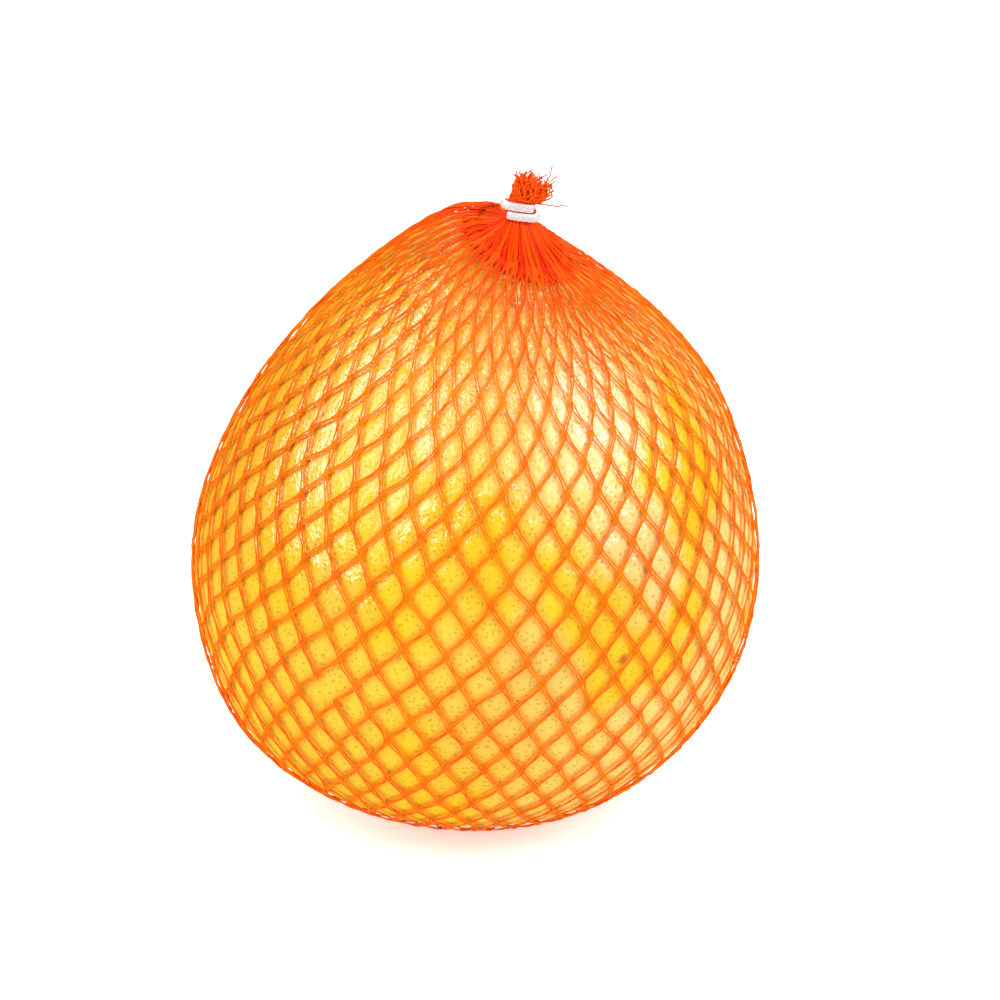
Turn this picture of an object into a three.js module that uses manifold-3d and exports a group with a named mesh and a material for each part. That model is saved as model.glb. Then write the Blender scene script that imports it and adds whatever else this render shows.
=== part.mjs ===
// A pomelo sold in its net. The fruit is a large citrus, broad in the belly and drawn up to a blunt neck,
// with a shallow dimple at the blossom end, on which it stands, and the scar of its stalk on top. A knitted
// net sleeve covers it: closed to a flat pad under the fruit, open in diamonds up the rind, gathered in
// pleats beside the stem end, pinched there by a bent wire clip, and cut off above it as a short frayed tail.
// Millimetres. +Z is up, the front is -Y, and the origin is on the ground under the middle of the fruit.
import * as THREE from "three";
import { mergeVertices } from "three/addons/utils/BufferGeometryUtils.js";
import Module from "manifold-3d";

const wasm = await Module();
wasm.setup();

const TURN = 2 * Math.PI;
const { clamp, degToRad, lerp, smoothstep } = THREE.MathUtils;

// The net's strands: three-sided, flat side to the rind.
const STRAND_GAP = 0.75;
const STRAND_RISE = 1.15;
const KNOT_HALF_SIZE = 1.12;
const PAD_STANDS_OUT = 0.15;
const FOOT = STRAND_GAP + STRAND_RISE + PAD_STANDS_OUT;

// The fruit's outline, [radius, height], from the blossom end round the belly to the shoulder.
const BELLY_HEIGHT = 62;
const FLAT_RADIUS = 22;
const FLANK = [
  [34.8, 4.9],
  [46.1, 10.6],
  [58.7, 22.8],
  [67, 38.7],
  [70.6, 57.5],
  [69.9, 74],
  [65.5, 90.6],
  [57.5, 108.4],
  [45.3, 124.7],
  [33.4, 136.6],
  [19.7, 148.3],
];
const BLOSSOM_END = [
  [0, 5.2],
  [10, 4.2],
  [FLAT_RADIUS, FOOT],
];
const STALK_SCAR = [
  [11.1, 153.5],
  [7.6, 155.7],
  [5.2, 155.1],
  [4.1, 156.2],
  [0, 156.6],
];
const BASE_OF_NET = [
  [0, FOOT],
  [11, FOOT],
  [FLAT_RADIUS, FOOT],
];
const TOP_OF_NET = [
  [11.4, 154.1],
  [6, 157.1],
  [0, 157.9],
];
const SHOULDER_SWAY = 2.6;
const HIP_SWAY = 1.4;
const RIND_ROWS = 24;
const RIND_SIDES = 44;

// The net's mesh: diamonds round the belly, the length of each side, and the ring radius where the mesh ends.
const DIAMONDS_ROUND = 28;
const LEG = 12.6;
const MESH_END_RADIUS = 10.5;
const PAD_RADIUS = 12.5;
const PAD_PLEAT = 0.9;
const PAD_HEIGHT = 1.5;

// How far the net's axis leans from the fruit's, to the right and to the front, in degrees.
const LEAN_RIGHT_TOP = 7;
const LEAN_RIGHT_BASE = 4;
const LEAN_FRONT = 3;

// The neck of the net, flattened by the clip, and the tail above it, which bends over to the right.
const PLEATS = 24;
const PLEAT_BASE_RADIUS = 11.8;
const NECK_HALF_WIDTH = 3;
const NECK_HALF_DEPTH = 1.25;
const NECK_FOOT = new THREE.Vector3(10.9, -3.6, 157.3);
const NECK_LENGTH = 5.4;
const NECK_LEAN = 8;
const TAIL_LEAN = 24;
const TAIL_LENGTH = 6;
const TAIL_RADIUS = 4.3;
const TAIL_ENDS = 32;
const TAIL_END_LENGTH = 3.4;
const GOLDEN_TURN = 0.618;
const SLIVER = 0.005;

// The clip: one flattened wire bent once round the neck, with its two ends one above the other at the front.
const WIRE_HALF_HEIGHT = 1.05;
const WIRE_HALF_THICKNESS = 0.65;
const WIRE_START = -135;
const WIRE_END = 315;
const WIRE_STEPS = 40;
const CLIP_BEND_RADIUS = 2.25;
const CLIP_HALF_STRAIGHT = 1.75;
const CLIP_HALF_PITCH = 1.25;
const CLIP_SKEW = 0.5;
const CLIP_RISE = 2.9;
const CLIMB_START = -10;
const CLIMB_END = 190;
const BAR_STRAIGHTNESS = 2.5;

const X_AXIS = new THREE.Vector3(1, 0, 0);
const Y_AXIS = new THREE.Vector3(0, 1, 0);

const orangeNet = new THREE.MeshStandardMaterial({ color: 0xf4560f, roughness: 0.45, metalness: 0 });
const yellowRind = new THREE.MeshStandardMaterial({ color: 0xf0c21e, roughness: 0.4, metalness: 0 });
const greyWire = new THREE.MeshStandardMaterial({ color: 0xdfe1e4, roughness: 0.3, metalness: 0.9 });

// A closed geometry from corner points and faces of three or four corner numbers.
function closedGeometry(points, faces) {
  const index = faces.flatMap(([a, b, c, d]) => (d === undefined ? [a, b, c] : [a, b, c, a, c, d]));
  const geometry = new THREE.BufferGeometry();
  geometry.setAttribute("position", new THREE.Float32BufferAttribute(points.flatMap((p) => p.toArray()), 3));
  geometry.setIndex(index);
  return geometry;
}

// A solid from a stack of rings of equally many points, and middle points under the first and over the last.
function stackedRings(rings, below, above) {
  const count = rings[0].length;
  const points = [...rings.flat(), below, above];
  const faces = [];
  for (let row = 0; row < rings.length - 1; row++) {
    for (let i = 0; i < count; i++) {
      const next = (i + 1) % count;
      const low = row * count;
      faces.push([low + i, low + next, low + count + next, low + count + i]);
    }
  }
  const last = (rings.length - 1) * count;
  for (let i = 0; i < count; i++) {
    const next = (i + 1) % count;
    faces.push([next, i, points.length - 2]);
    faces.push([last + i, last + next, points.length - 1]);
  }
  return closedGeometry(points, faces);
}

function toSolid(geometry) {
  const bare = geometry.clone();
  bare.deleteAttribute("normal");
  bare.deleteAttribute("uv");
  const merged = mergeVertices(bare, 1e-4);
  const mesh = new wasm.Mesh({
    numProp: 3,
    vertProperties: merged.attributes.position.array,
    triVerts: new Uint32Array(merged.index.array),
  });
  return new wasm.Manifold(mesh);
}

function toGeometry(solid) {
  const mesh = solid.getMesh();
  const geometry = new THREE.BufferGeometry();
  geometry.setAttribute("position", new THREE.BufferAttribute(mesh.vertProperties, 3));
  geometry.setIndex(new THREE.BufferAttribute(mesh.triVerts, 1));
  return geometry;
}

// A number from 0 to 1 that is always the same for the same two whole numbers.
function scatter(a, b) {
  const wave = Math.sin(a * 12.9898 + b * 78.233) * 43758.5453;
  return wave - Math.floor(wave);
}

function bell(value, middle, spread) {
  return Math.exp(-(((value - middle) / spread) ** 2));
}

// A grown fruit isn't turned on a lathe: its girth has soft sides, and its body sways right at the shoulder.
function grown(radius, azimuth, height) {
  const girth = radius * (1 + 0.004 * Math.cos(2 * azimuth + 0.6) + 0.003 * Math.cos(4 * azimuth - 0.9));
  const sway = SHOULDER_SWAY * bell(height, 115, 28) - HIP_SWAY * bell(height, 22, 16);
  return new THREE.Vector3(girth * Math.cos(azimuth) + sway, girth * Math.sin(azimuth), height);
}

function smoothOutline(...stretches) {
  return new THREE.SplineCurve(stretches.flat().map(([r, z]) => new THREE.Vector2(r, z)));
}

// The fruit, one solid: rings up its outline, with the stalk's scar as a low button in a pit.
function fruit() {
  const side = smoothOutline(BLOSSOM_END, FLANK).getSpacedPoints(RIND_ROWS).slice(1);
  const scar = STALK_SCAR.slice(0, -1).map(([r, z]) => new THREE.Vector2(r, z));
  const rings = [...side, ...scar].map((p) =>
    Array.from({ length: RIND_SIDES }, (_, i) => grown(p.x, (TURN * i) / RIND_SIDES, p.y)),
  );
  const [[, blossom]] = BLOSSOM_END;
  const [, scarTop] = STALK_SCAR.at(-1);
  return new THREE.Mesh(stackedRings(rings, grown(0, 0, blossom), grown(0, 0, scarTop)), yellowRind);
}

// The surface that the net lies on: its distance from the middle of the belly at each angle from straight up.
const netOutline = smoothOutline(BASE_OF_NET, FLANK, TOP_OF_NET)
  .getPoints(400)
  .map((p) => ({ radius: p.x, height: Math.max(p.y, FOOT) }))
  .map(({ radius, height }) => ({
    fromTop: Math.atan2(radius, height - BELLY_HEIGHT),
    reach: Math.hypot(radius, height - BELLY_HEIGHT),
  }))
  .reverse();

function reachAt(fromTop) {
  let low = 0;
  let high = netOutline.length - 1;
  while (high - low > 1) {
    const middle = (low + high) >> 1;
    if (netOutline[middle].fromTop <= fromTop) low = middle;
    else high = middle;
  }
  const a = netOutline[low];
  const b = netOutline[high];
  return lerp(a.reach, b.reach, clamp((fromTop - a.fromTop) / (b.fromTop - a.fromTop), 0, 1));
}

function ringRadius(drop) {
  return reachAt(drop) * Math.sin(drop);
}

// The angle down from the gathered end where the net's ring first has this radius.
function dropAt(radius) {
  let drop = 0;
  while (ringRadius(drop) < radius) drop += 0.002;
  return drop;
}

function direction(fromTop, turn) {
  const across = Math.sin(fromTop);
  return new THREE.Vector3(across * Math.cos(turn), across * Math.sin(turn), Math.cos(fromTop));
}

// Places on the net: turn is the angle round its axis, and drop the angle down from its gathered end.
function onRind(turn, drop) {
  const leanRight = degToRad(lerp(LEAN_RIGHT_TOP, LEAN_RIGHT_BASE, drop / Math.PI));
  const outward = direction(drop, turn)
    .applyAxisAngle(X_AXIS, degToRad(LEAN_FRONT))
    .applyAxisAngle(Y_AXIS, leanRight);
  const fromTop = Math.acos(clamp(outward.z, -1, 1));
  const reach = reachAt(fromTop);
  const radius = reach * Math.sin(fromTop);
  return grown(radius, Math.atan2(outward.y, outward.x), BELLY_HEIGHT + reach * Math.cos(fromTop));
}

function overRind(turn, drop, height) {
  const step = 2e-3;
  const along = onRind(turn + step, drop).sub(onRind(turn - step, drop));
  const down = onRind(turn, drop + step).sub(onRind(turn, drop - step));
  const outward = down.cross(along).normalize();
  return onRind(turn, drop).addScaledVector(outward, STRAND_GAP + height);
}

// Rows of knots, from the gathered end down. The net doesn't stretch, so its rows close up where it is wide.
function knotRows() {
  const rows = [];
  const walk = 0.002;
  let drop = dropAt(MESH_END_RADIUS);
  while (drop < Math.PI / 2 || ringRadius(drop) > MESH_END_RADIUS + 0.3 * LEG) {
    rows.push(drop);
    const halfWidth = (Math.PI * ringRadius(drop)) / DIAMONDS_ROUND;
    let left = Math.sqrt(LEG ** 2 - halfWidth ** 2);
    while (left > 0) {
      const here = reachAt(drop);
      const there = reachAt(drop + walk);
      left -= Math.hypot(there - here, here * walk);
      drop += walk;
    }
  }
  while (ringRadius(drop) < MESH_END_RADIUS) drop -= walk;
  while (ringRadius(drop) > MESH_END_RADIUS) drop += walk;
  return [...rows, drop];
}

// The open mesh as one closed skin. Each knot has a ridge point and four corners on the rind side, and each
// strand runs between the facing corners of two knots.
function mesh() {
  const rows = knotRows();
  const points = [];
  const faces = [];
  const knots = rows.map((drop, row) => {
    const radius = ringRadius(drop);
    const halfCell = (Math.PI * radius) / DIAMONDS_ROUND;
    const halfAcross = Math.min(KNOT_HALF_SIZE, 0.36 * halfCell);
    return Array.from({ length: DIAMONDS_ROUND }, (_, i) => {
      const turn = (TURN * (i + (row % 2) / 2)) / DIAMONDS_ROUND;
      const first = points.length;
      points.push(
        overRind(turn, drop, STRAND_RISE),
        overRind(turn - halfAcross / radius, drop, 0),
        overRind(turn + halfAcross / radius, drop, 0),
        overRind(turn, drop - KNOT_HALF_SIZE / reachAt(drop), 0),
        overRind(turn, drop + KNOT_HALF_SIZE / reachAt(drop), 0),
      );
      return { ridge: first, left: first + 1, right: first + 2, up: first + 3, down: first + 4 };
    });
  });
  knots.forEach((ring, row) =>
    ring.forEach((knot, i) => {
      faces.push([knot.left, knot.up, knot.right, knot.down]);
      if (row === 0) {
        faces.push([knot.left, knot.ridge, knot.up], [knot.up, knot.ridge, knot.right]);
      }
      if (row === rows.length - 1) {
        faces.push([knot.right, knot.ridge, knot.down], [knot.down, knot.ridge, knot.left]);
        return;
      }
      const shift = row % 2;
      const lowLeft = knots[row + 1][(i - 1 + shift + DIAMONDS_ROUND) % DIAMONDS_ROUND];
      const lowRight = knots[row + 1][(i + shift) % DIAMONDS_ROUND];
      faces.push(
        [knot.down, knot.right, lowRight.up, lowRight.left],
        [knot.right, knot.ridge, lowRight.ridge, lowRight.up],
        [knot.ridge, knot.down, lowRight.left, lowRight.ridge],
        [knot.left, knot.down, lowLeft.right, lowLeft.up],
        [knot.down, knot.ridge, lowLeft.ridge, lowLeft.right],
        [knot.ridge, knot.left, lowLeft.up, lowLeft.ridge],
      );
    }),
  );
  return closedGeometry(points, faces);
}

// The closed end under the fruit: the mesh drawn together and pressed flat into a pleated pad.
function pad() {
  const middle = onRind(0, Math.PI - 1e-4);
  const outline = new THREE.Shape(
    Array.from({ length: 2 * PLEATS }, (_, i) => {
      const angle = (TURN * i) / (2 * PLEATS);
      const radius = PAD_RADIUS + (i % 2 ? -PAD_PLEAT : 0);
      return new THREE.Vector2(radius * Math.cos(angle), radius * Math.sin(angle));
    }),
  );
  const geometry = new THREE.ExtrudeGeometry(outline, { depth: PAD_HEIGHT, bevelEnabled: false });
  return geometry.translate(middle.x, middle.y, 0);
}

// The neck's own line: up from its foot, and bending over to the right in the tail.
function neckPoint(rise) {
  const along = (lean, length) => new THREE.Vector3(Math.sin(degToRad(lean)), 0, Math.cos(degToRad(lean)))
    .multiplyScalar(length);
  return NECK_FOOT.clone()
    .add(along(NECK_LEAN, Math.min(rise, NECK_LENGTH)))
    .add(along(TAIL_LEAN, Math.max(rise - NECK_LENGTH, 0)));
}

function neckRing(rise, halfWidth, halfDepth, pleatDepth) {
  const centre = neckPoint(rise);
  const lean = degToRad(rise > NECK_LENGTH ? TAIL_LEAN : NECK_LEAN);
  return Array.from({ length: 2 * PLEATS }, (_, i) => {
    const turn = (TURN * i) / (2 * PLEATS);
    const inset = i % 2 ? pleatDepth : 0;
    return new THREE.Vector3((halfWidth - inset) * Math.cos(turn), (halfDepth - inset) * Math.sin(turn), 0)
      .applyAxisAngle(Y_AXIS, lean)
      .add(centre);
  });
}

// The gathered end: pleats that rise off the rind to the neck, pass the clip and swell into the tail.
function gather() {
  const baseDrop = dropAt(PLEAT_BASE_RADIUS);
  const skirt = Array.from({ length: 2 * PLEATS }, (_, i) =>
    overRind((TURN * i) / (2 * PLEATS), baseDrop, i % 2 ? 0.3 : STRAND_RISE),
  );
  const throat = neckRing(0, NECK_HALF_WIDTH + 0.2, NECK_HALF_DEPTH + 0.2, 0.2);
  const drawn = (share, sag) =>
    skirt.map((p, i) => p.clone().lerp(throat[i], share).add(new THREE.Vector3(0, 0, -sag)));
  const tail = [
    [0.15, 0.82],
    [0.4, 1],
    [0.75, 0.95],
    [0.95, 0.6],
  ].map(([share, width], step) => {
    const radius = width * TAIL_RADIUS;
    const ring = neckRing(NECK_LENGTH + share * TAIL_LENGTH, radius, 0.8 * radius, 0.5);
    return ring.map((p, i) => p.add(new THREE.Vector3(0, 0, 0.5 * (scatter(i, step) - 0.5))));
  });
  const rings = [
    skirt,
    drawn(0.4, 0.45),
    drawn(0.75, 0.4),
    throat,
    neckRing(0.5, NECK_HALF_WIDTH, NECK_HALF_DEPTH, 0.2),
    neckRing(NECK_LENGTH, NECK_HALF_WIDTH, NECK_HALF_DEPTH, 0.2),
    ...tail,
  ];
  return stackedRings(rings, overRind(0, 1e-3, 0), neckPoint(NECK_LENGTH + TAIL_LENGTH));
}

// Cut ends of strands, all round the tail and over its top, rooted near its middle.
function tailEnds() {
  const root = neckPoint(NECK_LENGTH + 0.35 * TAIL_LENGTH);
  return Array.from({ length: TAIL_ENDS }, (_, i) => {
    const spread = Math.acos(1 - (1.25 * (i + 0.5)) / TAIL_ENDS);
    const outward = direction(spread, TURN * i * GOLDEN_TURN).applyAxisAngle(Y_AXIS, degToRad(TAIL_LEAN));
    const length = TAIL_RADIUS + TAIL_END_LENGTH * lerp(0.25, 0.85, scatter(i, 7));
    const end = new THREE.CylinderGeometry(0.3, 0.5, length, 3).translate(0, length / 2, 0);
    end.applyQuaternion(new THREE.Quaternion().setFromUnitVectors(Y_AXIS, outward));
    return end.translate(root.x, root.y, root.z);
  });
}

// All of the net as one piece. Any small hollow that the joining seals is filled again, and slivers are removed.
function net() {
  const pieces = [mesh(), pad(), gather(), ...tailEnds()].map(toSolid);
  const skins = pieces.reduce((whole, piece) => whole.add(piece)).decompose();
  const outer = skins.reduce((largest, skin) => (skin.volume() > largest.volume() ? skin : largest));
  return new THREE.Mesh(toGeometry(outer.simplify(SLIVER)), orangeNet);
}

// The clip's wire starts at the lower front, and goes right and round the back while it rises, to end above
// its start. The upper turn sits a little further left.
function clip() {
  const route = Array.from({ length: WIRE_STEPS + 1 }, (_, i) => {
    const angle = lerp(WIRE_START, WIRE_END, i / WIRE_STEPS);
    const across = Math.cos(degToRad(angle));
    const climb = 2 * smoothstep(angle, CLIMB_START, CLIMB_END) - 1;
    const straight = clamp(BAR_STRAIGHTNESS * across, -1, 1);
    return new THREE.Vector3(
      CLIP_BEND_RADIUS * across + CLIP_HALF_STRAIGHT * straight - CLIP_SKEW * climb,
      CLIP_BEND_RADIUS * Math.sin(degToRad(angle)),
      CLIP_HALF_PITCH * climb,
    );
  });
  const section = new THREE.Shape();
  const oval = new THREE.EllipseCurve(0, 0, WIRE_HALF_HEIGHT, WIRE_HALF_THICKNESS);
  section.setFromPoints(oval.getPoints(8).slice(0, -1));
  const extrudePath = new THREE.CatmullRomCurve3(route);
  const extrusion = { steps: WIRE_STEPS, bevelEnabled: false, extrudePath };
  const wire = new THREE.Mesh(new THREE.ExtrudeGeometry(section, extrusion), greyWire);
  wire.position.copy(neckPoint(CLIP_RISE));
  wire.rotation.y = degToRad(NECK_LEAN);
  return wire;
}

const pomelo = new THREE.Group();
for (const [name, piece] of Object.entries({ pomelo_fruit: fruit(), net: net(), clip: clip() })) {
  piece.name = name;
  pomelo.add(piece);
}

export default pomelo;
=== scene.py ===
"""A pomelo in its orange net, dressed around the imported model. Lengths are in mm until a mesh is made."""

import math

import bpy
import numpy as np
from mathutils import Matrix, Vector


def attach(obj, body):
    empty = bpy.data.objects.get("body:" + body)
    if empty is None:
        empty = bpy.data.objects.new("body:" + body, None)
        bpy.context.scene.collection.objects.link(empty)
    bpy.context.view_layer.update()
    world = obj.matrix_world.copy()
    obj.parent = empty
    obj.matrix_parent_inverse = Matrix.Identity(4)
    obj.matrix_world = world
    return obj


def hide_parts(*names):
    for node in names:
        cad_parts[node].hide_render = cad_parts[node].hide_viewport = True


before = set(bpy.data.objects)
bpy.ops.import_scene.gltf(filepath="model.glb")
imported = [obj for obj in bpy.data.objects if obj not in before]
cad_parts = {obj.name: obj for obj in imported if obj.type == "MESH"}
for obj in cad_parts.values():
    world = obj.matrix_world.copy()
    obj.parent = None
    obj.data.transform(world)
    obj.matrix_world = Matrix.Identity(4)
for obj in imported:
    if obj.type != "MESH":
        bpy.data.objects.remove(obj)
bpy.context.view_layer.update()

MM = 0.001
TAU = 2 * math.pi
LEAST_LENGTH = 1e-9
rng = np.random.default_rng(41)

# The fruit's outline, (radius, height), from the blossom end round the belly to the shoulder.
BELLY_HEIGHT = 62
FOOT = 2.05
FLAT_RADIUS = 22
FLANK = [
    (34.8, 4.9),
    (46.1, 10.6),
    (58.7, 22.8),
    (67, 38.7),
    (70.6, 57.5),
    (69.9, 74),
    (65.5, 90.6),
    (57.5, 108.4),
    (45.3, 124.7),
    (33.4, 136.6),
    (19.7, 148.3),
]
BLOSSOM_END = [(0, 5.2), (10, 4.2), (FLAT_RADIUS, FOOT)]
STALK_SCAR = [(11.1, 153.5), (7.6, 155.7), (5.2, 155.1), (4.1, 156.2), (0, 156.6)]
BASE_OF_NET = [(0, FOOT), (11, FOOT), (FLAT_RADIUS, FOOT)]
TOP_OF_NET = [(11.4, 154.1), (6, 157.1), (0, 157.9)]
OUTLINE_STEPS = 24

# How the body sways right at the shoulder and left at the hip, and where, and its soft sides.
SHOULDER_SWAY = 2.6
SHOULDER_HEIGHT = 115
SHOULDER_SPREAD = 28
HIP_SWAY = 1.4
HIP_HEIGHT = 22
HIP_SPREAD = 16
OVAL_GIRTH = 0.004
OVAL_TURN = 0.6
SQUARE_GIRTH = 0.003
SQUARE_TURN = -0.9

# The knitted net: diamonds round the belly, the length of their sides, and how far strands lie off the rind.
DIAMONDS_ROUND = 44
LEG = 8.2
MESH_END_RADIUS = 10.5
LEAN_RIGHT_TOP = 7
LEAN_RIGHT_BASE = 4
LEAN_FRONT = 3
STRAND_BED = 0.5
STEPS_A_LEG = 5

# How far the net has slipped out of true, in diamonds across and rows down: each knot, and slow waves.
KNOT_DRIFT = 0.07
WAVE_ACROSS = 0.10
WAVES_ACROSS_ROUND = 3
WAVE_PACE = 0.43
SWING_ACROSS = 0.08
SWING_PACE = 0.9
SWING_START = 2.1
WAVE_DOWN = 0.12
WAVES_DOWN_ROUND = 2
WAVE_DOWN_START = 0.7
TRUE_ROWS = 2

# A strand's two filaments: their size, and how far they lie apart from the gathered ends to the belly.
FILAMENT_RADIUS = 0.22
FILAMENT_SIDES = 5
FILAMENT_LIFT = 0.28
FILAMENT_VARIETY = 0.12
THIN_SHARE = 0.72
THIN_TO_FULL_RADIUS = (30, 60)
KNOT_SHARPNESS = 3
PARTING_AT_RADIUS = (11, 16, 20, 30, 50, 70)
PARTING = (0.16, 0.22, 0.25, 0.25, 0.28, 0.3)
OPEN_FROM_RADIUS = 14
OPENING_SPAN = 20
TWIST_HEIGHT = 0.14
TWIST_PACE = 1.4
CROSSING_HEIGHT = 0.10

# The soft folds of the net round its neck.
FOLDS_ROUND = 13
FOLD_HEIGHT = 0.6
FOLD_ROWS = 1.3
FOLD_WANDER = 1.3
WANDERS_ROUND = 3

# The right-slanting strand with one broken leg, low on the left of the front, and the row of that leg.
BROKEN_STRAND = 21
BROKEN_ROW = 16

# The slack filament that each strand has in the upper rows.
LOOSE_ROWS = 4
LOOSE_SWAY = 1.1
LOOSE_PACE = 1.9
LOOSE_LIFT = 0.2
LOOSE_THICKNESS = 0.8
LOOSE_FULL_RADIUS = 26
LOOSE_LEAST_SHARE = 0.4

# A knot's length in rows, its radius and its swell from end to end.
KNOT_LENGTH = 0.34
KNOT_SLANT = 0.32
KNOT_RADIUS = 0.46
KNOT_LIFT = 0.25
KNOT_STATIONS = np.array([-0.5, -0.3, 0, 0.3, 0.5])
KNOT_SWELL = np.array([0.25, 0.85, 1, 0.85, 0.25])
FULL_KNOT_ROW = 9
LEAST_KNOT_SHARE = 0.4
KNOT_VARIETY = (0.8, 1.15)

# The neck of the net, flattened by the clip, and the tail above it.
PLEAT_BASE_RADIUS = 11.8
PLEAT_DROPS_TRIED = (0.01, 0.5, 2000)
NECK_HALF_WIDTH = 3
NECK_HALF_DEPTH = 1.25
NECK_FOOT = np.array([10.9, -3.6, 157.3])
NECK_LENGTH = 5.4
NECK_LEAN = 8
NECK_SPREAD = 0.1
SKIRT_SAG = 0.45
SKIRT_RINGS = 9
NECK_RINGS = 8
LOWEST_NECK_RING = 0.5
CORE_RINGS = 12
SKIRT_INSET = 0.1
# Where a strand's points lie on the skirt, as shares of it, and on the neck, in mm above its foot.
SKIRT_LOWEST = 0.15
SKIRT_STATIONS = 6
SKIRT_LIFT = 0.1
NECK_STATIONS = (5.6, 4, 2.2, 0.8)
STRAND_INSET = 0.15
HEM_DROP = 1.2
HEM_LIFT = 0.1
PLEAT_HEIGHT = 0.25
PLEAT_DEPTH = 0.2
LEAST_CREASE_SHADE = 0.4
TAIL_LEAN = 26
TAIL_ASIDE = 0.9
TAIL_LENGTH = 6
TAIL_RADIUS = 4.3
TAIL_STRANDS = 170
TAIL_STATIONS = 15
TAIL_FLATNESS = 0.8
TAIL_BASE_SHARE = 0.9
TAIL_WANDER = 0.24
GOLDEN_TURN = 0.618
TAIL_OVERLAP = 0.5
TAIL_OPENING = 3
TAIL_CURL = 0.5
TAIL_CURL_PACE = 3
TAIL_REACHES = (0.35, 1)
TAIL_CROWDING = 0.6
TAIL_HEIGHTS = (0.7, 1.08)
TAIL_THICKNESSES = (0.7, 1)
# The crumpled middle of the tail: how wide it is along its height, and its two crumples.
CORE_AT = (0, 0.15, 0.4, 0.75, 1)
CORE_WIDTH = (0.7, 0.82, 1, 0.9, 0.3)
CORE_SPAN = (0.05, 0.98)
CORE_INSET = 0.8
CORE_HEIGHT_SHARE = 0.9
BROAD_CRUMPLE = 0.55
BROAD_CRUMPLES_ROUND = 7
BROAD_CRUMPLE_TWIST = 9
FINE_CRUMPLE = 0.4
FINE_CRUMPLES_ROUND = 12
FINE_CRUMPLE_TWIST = -14
FINE_CRUMPLE_START = 1
# How wide the cut strands spread along the tail's height.
SPREAD_AT = (0, 0.25, 0.6, 1)
SPREAD_SHARE = (0.6, 0.9, 1, 0.95)

# Angle round the tail, share of its height, length in mm and climb of each frayed end.
FRAYED_ENDS = [
    (-0.1, 0.12, 8, -0.06),
    (-0.25, 0.25, 4.2, 0.45),
    (0.2, 0.6, 3.6, 0.8),
    (-0.5, 0.75, 2.6, 1.3),
    (0.6, 0.85, 2.4, 1.6),
    (2.9, 0.6, 1.6, 0.7),
]
FRAY_WANDER = 0.13
FRAY_FACING = (0, -1, 0.2)
FRAY_ROOT_WIDTH = 0.7
FRAY_ROOT_DEPTH = 0.5

# The pad that closes the net under the fruit.
PAD_RADIUS = 12.5
PAD_HEIGHT = 1.5
PAD_PLEAT = 0.8
PAD_RIPPLE = 0.1
# The pad's outline, (radius, height), from its middle over the rim and under it.
PAD_OUTLINE = [
    (1.2, PAD_HEIGHT),
    (PAD_RADIUS - 2, PAD_HEIGHT),
    (PAD_RADIUS, 0.9),
    (PAD_RADIUS - 0.2, 0.25),
    (PAD_RADIUS - 1.2, 0),
    (6, 0),
    (2.5, 0.12),
    (1.2, 0.5),
]
PAD_PLEATS_FROM = PAD_RADIUS - 3
PAD_RIPPLES_UP_TO = PAD_RADIUS - 2
PAD_RIPPLES_BELOW = 0.2
PAD_MIDDLE_DROP = math.pi - 1e-4

# The clip's flattened wire, bent once round the neck.
WIRE_HALF_HEIGHT = 1.05
WIRE_HALF_THICKNESS = 0.65
WIRE_START = -135
WIRE_END = 315
CLIP_BEND_RADIUS = 2.25
CLIP_HALF_STRAIGHT = 1.75
CLIP_HALF_PITCH = 1.25
CLIP_SKEW = 0.5
CLIP_RISE = 2.9
CLIMB_START = -10
CLIMB_END = 190
BAR_STRAIGHTNESS = 2.5
WIRE_STATIONS = 180
WIRE_SIDES = 20
WIRE_CORNER = 0.7
WIRE_END_SHARE = 0.86

# The rind's mesh, the beds that the strands press into it, and the painted orange glow and shade beside each
# strand and over the rows near the neck.
RIND_STEPS_A_DIAMOND = 8
RIND_STEPS_A_ROW = 6
CAP_STEPS = 14
CAP_TIP = 0.002
BED_DEPTH = 0.35
BED_HALF_WIDTH = 1.4
PAINTED_GLOW_HALF_WIDTH = 1.1
PAINTED_GLOW_ROWS = 4
PAINTED_THREAD_GLOW = 0.65
PAINTED_GLOW_SHARE = 0.85

# The rind's oil glands: how many a metre, how loosely they lie, and how strongly they show.
GLAND_SCALE = 780
GLAND_SCATTER = 0.8
GLAND_SHARE = 0.55

# A brown scar on the rind, low on the right of the front.
BLEMISH = np.array([35.9, -60.6, 65])

# Colours, in linear light.
CLIP_GREY = (0.92, 0.92, 0.93)
CLIP_WHITE = (0.96, 0.96, 0.96)
FLOOR_GREY = (0.84, 0.84, 0.84)
FLOOR_WHITE = (0.88, 0.88, 0.88)
WHITE = (1, 1, 1, 1)
PALE_RIND = (0.78, 0.58, 0.22)
YELLOW_RIND = (0.79, 0.49, 0.006)
# GOLDEN_RIND is a golden tone in patches, and painted shade on the left flank.
GOLDEN_RIND = (0.78, 0.38, 0.001)
GLAND = (0.34, 0.30, 0.002)
# Painted light and shade: the orange glow that the net throws on the rind, and the shade under its strands.
SHADED_RIND = (0.92, 0.26, 0.001)
SCAR = (0.42, 0.09, 0.01)
DEEP_THREAD = (0.86, 0.12, 0)
LIGHT_THREAD = (0.90, 0.20, 0)
# Painted shade: thread colours for the dense net near the neck and for its creases.
GATHERED_SHADE_THREAD = (0.85, 0.085, 0)
CREASE_SHADE_THREAD = (0.80, 0.03, 0)

# The studio: a wide floor that glows a little, and soft lights that face a point inside the fruit.
FLOOR_HALF = 6000
FLOOR_GLOW = 0.5
WORLD_STRENGTH = 0.3
AIM_HEIGHT = 80
LIGHT_DISTANCE = 1600
SOFTBOX_SIZE = (1250, 1100)
FILL_SIZE = (1200, 1200)

# The camera, from the photograph's framing of the belly.
FRAME_PIXELS = 1000
BELLY_PIXEL = (475, 561)
MM_A_PIXEL = 0.2544
CAMERA_ELEVATION = 26
LENS = 200
SENSOR = 36


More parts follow.
